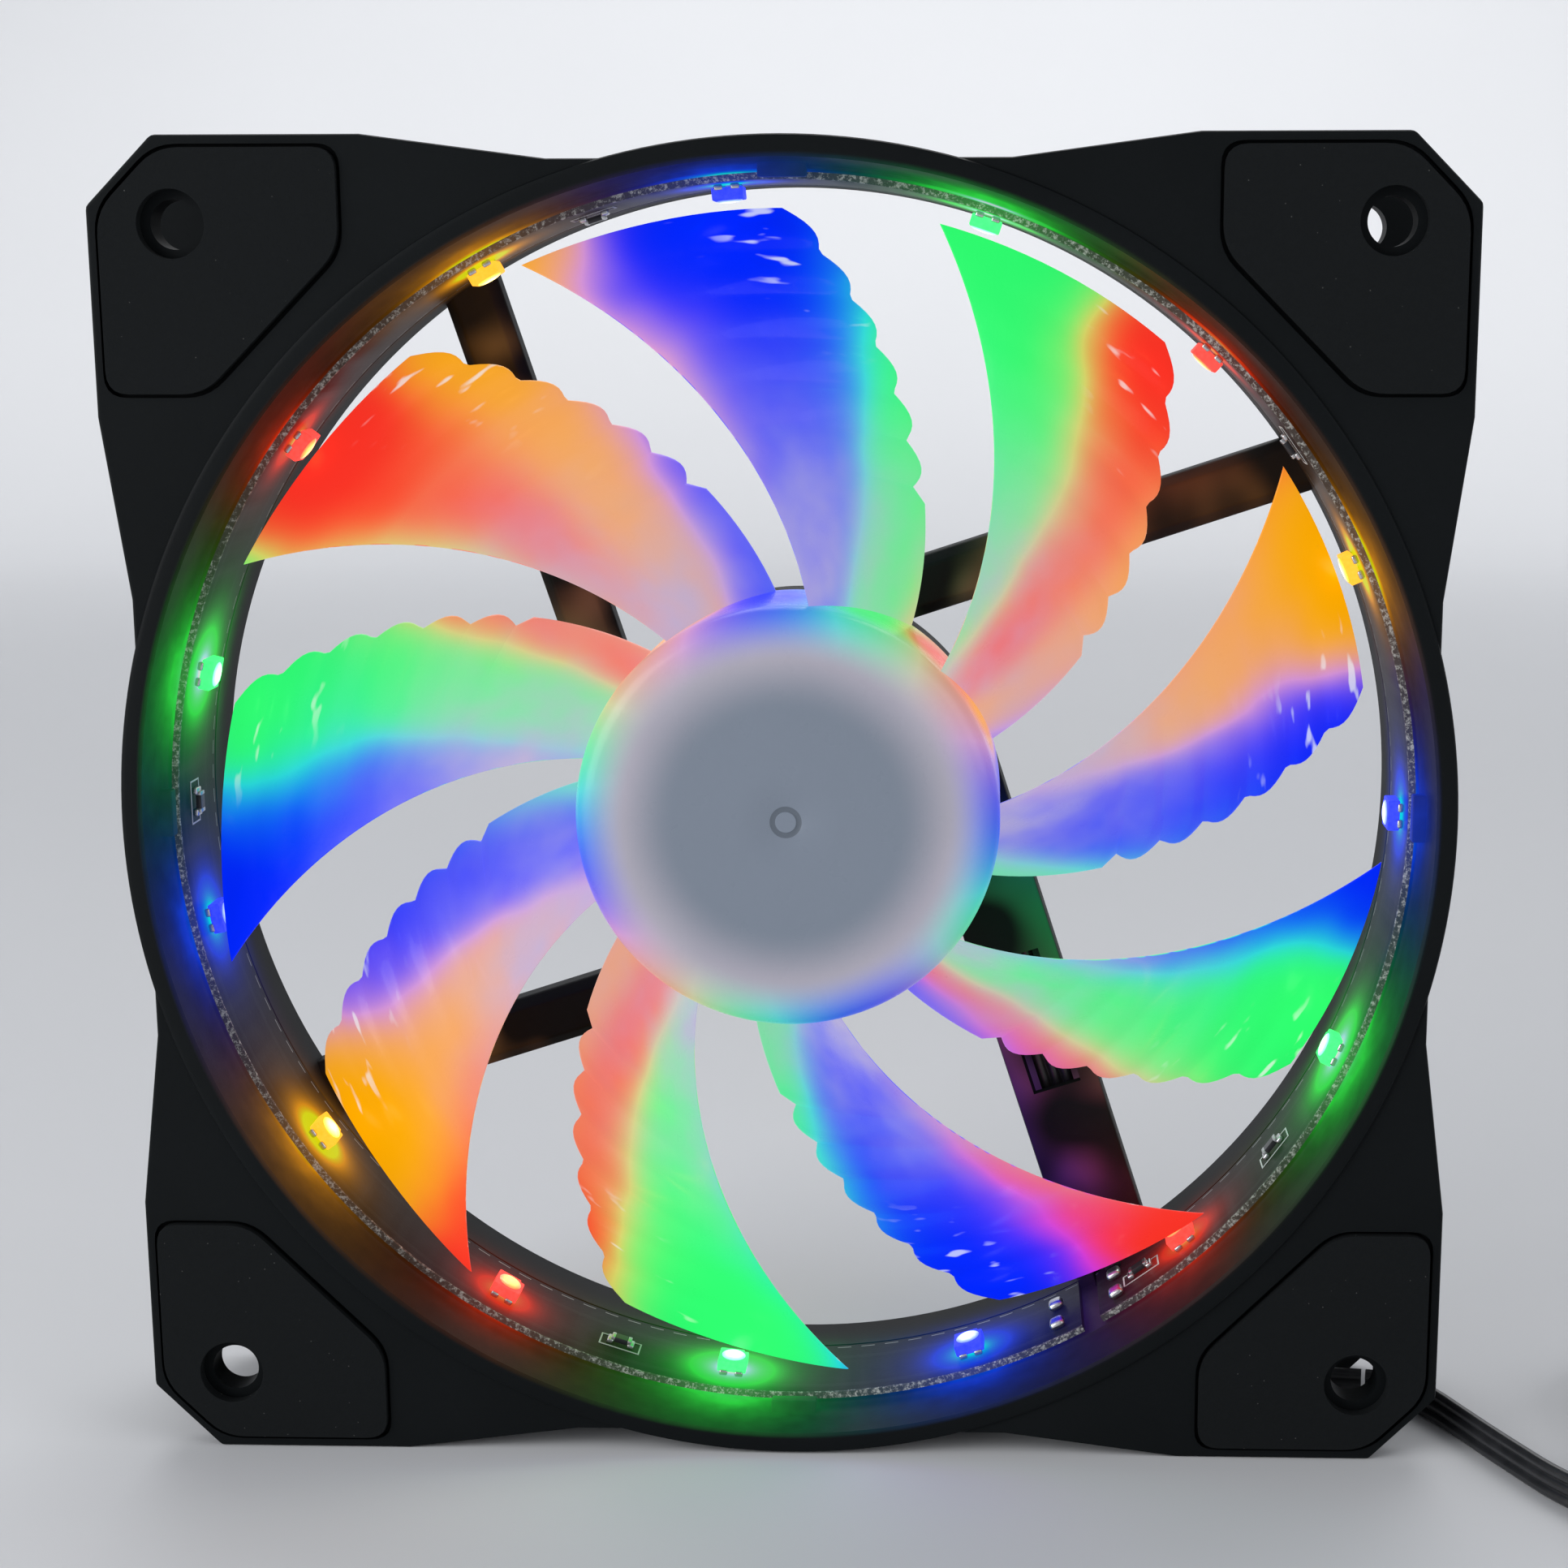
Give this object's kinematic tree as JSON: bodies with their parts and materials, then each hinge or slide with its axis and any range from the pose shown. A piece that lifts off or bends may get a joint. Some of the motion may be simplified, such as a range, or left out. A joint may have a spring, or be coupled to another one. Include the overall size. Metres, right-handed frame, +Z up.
{
  "type": "computer case fan",
  "caption": "Square case fan with a frosted scalloped impeller, a ring of rainbow LEDs inside the duct, rubber corner pads and a flat lead with a fan connector.",
  "frame": {"origin": "centre of the lower edge, on the surface that the fan stands on", "axes": "+Z up, +Y along the impeller axis from the LED side to the strut side, +X to the right seen from the LED side"},
  "size_m": [0.1633, 0.0552, 0.12],
  "materials": {
    "frame_plastic": "fine-grained black moulding",
    "pad_rubber": "matte black rubber with a little lint",
    "strip_board": "dark solder mask over a pale laminate edge",
    "led_red": "clear resin window in a white body, lit red",
    "led_green": "clear resin window in a white body, lit green",
    "led_blue": "clear resin window in a white body, lit blue",
    "led_amber": "clear resin window in a white body, lit amber",
    "resistor_body": "black chip between tinned ends",
    "frosted_plastic": "frosted translucent moulding, lit from its rim",
    "steel": "fine turned finish",
    "magnet": "dull pressed ferrite",
    "laminations": "stacked sheet edges",
    "nylon": "natural nylon",
    "copper_wire": "enamelled copper wire",
    "bronze": "oiled sintered bronze",
    "chip_body": "moulded black package",
    "capacitor": "tan chip between tinned ends",
    "cap_rubber": "black rubber plug",
    "label_foil": "blank silver film label",
    "lead_pvc": "black PVC insulation, slightly glossy",
    "connector_nylon": "natural nylon housing",
    "tie_nylon": "black nylon tie"
  },
  "bodies": {
    "housing": {"frame": "frame_plastic", "front_pad_top_left": "pad_rubber", "rear_pad_top_left": "pad_rubber", "front_pad_top_right": "pad_rubber", "rear_pad_top_right": "pad_rubber", "front_pad_bottom_left": "pad_rubber", "rear_pad_bottom_left": "pad_rubber", "front_pad_bottom_right": "pad_rubber", "rear_pad_bottom_right": "pad_rubber", "led_strip": "strip_board", "led_1": "led_red", "led_2": "led_green", "led_3": "led_blue", "led_4": "led_amber", "led_5": "led_red", "led_6": "led_green", "led_7": "led_blue", "led_8": "led_amber", "led_9": "led_red", "led_10": "led_green", "led_11": "led_blue", "led_12": "led_amber", "led_13": "led_red", "led_14": "led_green", "led_15": "led_blue", "resistor_1": "resistor_body", "resistor_2": "resistor_body", "resistor_3": "resistor_body", "resistor_4": "resistor_body", "resistor_5": "resistor_body", "resistor_6": "resistor_body", "stator_core": "laminations", "bobbin_front": "nylon", "bobbin_rear": "nylon", "winding_1": "copper_wire", "winding_2": "copper_wire", "winding_3": "copper_wire", "winding_4": "copper_wire", "sleeve_bearing": "bronze", "oil_seal": "nylon", "motor_board": "strip_board", "driver_chip": "chip_body", "board_capacitor": "capacitor", "bearing_cap": "cap_rubber", "rear_label": "label_foil", "inner_lead": "lead_pvc", "led_lead": "lead_pvc", "cable_run": "lead_pvc", "cable_hank": "lead_pvc", "cable_tail": "lead_pvc", "connector": "connector_nylon", "cable_tie": "tie_nylon"},
    "rotor": {"impeller": "frosted_plastic", "rotor_yoke": "steel", "magnet_ring": "magnet", "shaft": "steel", "retaining_clip": "steel"}
  },
  "joints": [
    {"name": "rotor_spin", "type": "hinge", "parent": "housing", "child": "rotor", "pos_m": [0, 0, 0.06], "axis": [0, -1, 0], "continuous": true}
  ]
}
